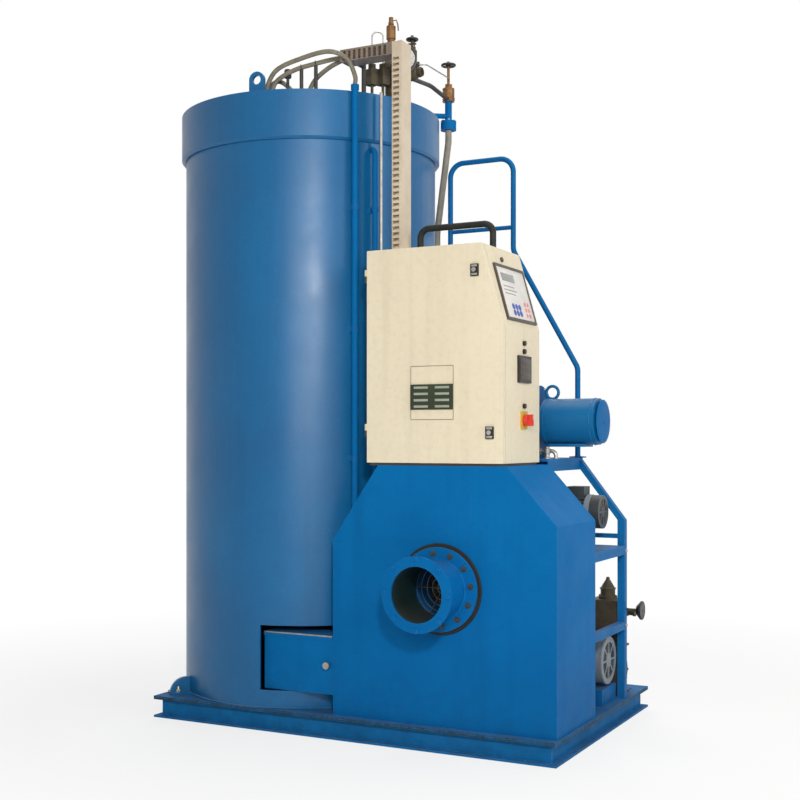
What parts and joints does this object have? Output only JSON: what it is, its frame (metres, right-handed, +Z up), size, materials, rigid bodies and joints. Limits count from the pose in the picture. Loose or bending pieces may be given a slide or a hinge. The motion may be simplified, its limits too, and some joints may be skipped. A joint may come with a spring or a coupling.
{
  "type": "packaged vertical steam boiler",
  "caption": "Vertical round steam boiler on a steel skid, with a burner air housing, control cabinet, pump frame, bent rail and top valves.",
  "frame": {"origin": "centre of the skid's underside", "axes": "+X to the right along the skid, +Y from the inlet side to the back, +Z up"},
  "size_m": [1.886, 1.281, 2.833],
  "materials": {
    "skid_paint": "semi-gloss blue paint, scuffed",
    "casing_paint": "semi-gloss blue paint",
    "housing_paint": "semi-gloss blue paint",
    "frame_paint": "semi-gloss blue paint",
    "motor_blue": "gloss blue paint",
    "motor_grey": "grey machine enamel",
    "motor_dark": "dark grey machine enamel",
    "cabinet_paint": "cream powder coat",
    "dark_steel": "dark paint",
    "galvanised": "dull galvanised steel",
    "trunking_plastic": "matt beige plastic",
    "trunking_dark": "matt dark brown plastic",
    "black_plastic": "satin black plastic",
    "brown_plastic": "matt dark brown plastic",
    "yellow_plastic": "yellow plastic",
    "red_plastic": "red plastic",
    "black_rubber": "black hose",
    "grey_rubber": "grey hose",
    "valve_iron": "dark olive cast iron",
    "brass": "dull brass"
  },
  "bodies": {
    "boiler": {"skid_long_channels": "skid_paint", "skid_side_channels": "skid_paint", "skid_cross_beams": "skid_paint", "deck_plate": "skid_paint", "casing_shell": "casing_paint", "casing_base": "skid_paint", "casing_top": "casing_paint", "casing_hood": "casing_paint", "flue_collar": "casing_paint", "lifting_lugs": "casing_paint", "hold_down_feet": "casing_paint", "burner_housing": "housing_paint", "air_duct": "housing_paint", "inlet_spool": "housing_paint", "cabinet_plinth": "dark_steel", "cabinet_body": "cabinet_paint", "mounting_plate": "galvanised", "cabinet_hinges": "dark_steel", "display_panel": "brown_plastic", "side_instruments": "black_plastic", "switch_plate": "yellow_plastic", "upright_trunking": "trunking_plastic", "level_trunking": "trunking_dark", "trunking_posts": "dark_steel", "cabinet_hose": "black_rubber", "conduit_bundle": "grey_rubber", "front_riser": "housing_paint", "sensing_pipe": "housing_paint", "vent_line": "galvanised", "steam_outlet": "valve_iron", "safety_valve": "brass", "pressure_gauge": "black_plastic", "pressure_switches": "valve_iron", "siphon_loop": "galvanised", "capillary": "galvanised", "drain_pipe": "housing_paint", "drain_valve": "brass", "drain_hose": "grey_rubber", "link_pipe": "dark_steel", "frame_posts": "frame_paint", "frame_rails": "frame_paint", "platform": "frame_paint", "bent_rail": "frame_paint", "rail_rung": "frame_paint", "blower_drum": "frame_paint", "fan_motor": "motor_blue", "pump_bed": "frame_paint", "pump_motor": "motor_grey", "feed_pump": "valve_iron", "upper_motor": "motor_dark"},
    "door": {"cabinet_door": "cabinet_paint", "door_latches": "black_plastic", "vent_plate": "cabinet_paint", "door_vent": "black_plastic"},
    "switch": {"switch_handle": "red_plastic"},
    "steam_wheel": {"steam_handwheel": "black_plastic"},
    "drain_wheel": {"drain_handwheel": "black_plastic"},
    "pump_wheel": {"pump_handwheel": "black_plastic"}
  },
  "joints": [
    {"name": "cabinet_door", "type": "hinge", "parent": "boiler", "child": "door", "pos_m": [0.0965, -0.514, 1.4], "axis": [0, 0, -1], "range_deg": [0, 110]},
    {"name": "main_switch", "type": "hinge", "parent": "boiler", "child": "switch", "pos_m": [0.6538, -0.327, 1.196], "axis": [1, 0, 0], "range_deg": [0, 90]},
    {"name": "steam_wheel", "type": "hinge", "parent": "boiler", "child": "steam_wheel", "pos_m": [0.04681, -0.0327, 2.763], "axis": [0, 0, 1], "continuous": true},
    {"name": "drain_wheel", "type": "hinge", "parent": "boiler", "child": "drain_wheel", "pos_m": [0.04478, 0.32395, 2.752], "axis": [0, 0, 1], "continuous": true},
    {"name": "pump_wheel", "type": "hinge", "parent": "boiler", "child": "pump_wheel", "pos_m": [0.8935, 0.33, 0.435], "axis": [1, 0, 0], "continuous": true}
  ]
}
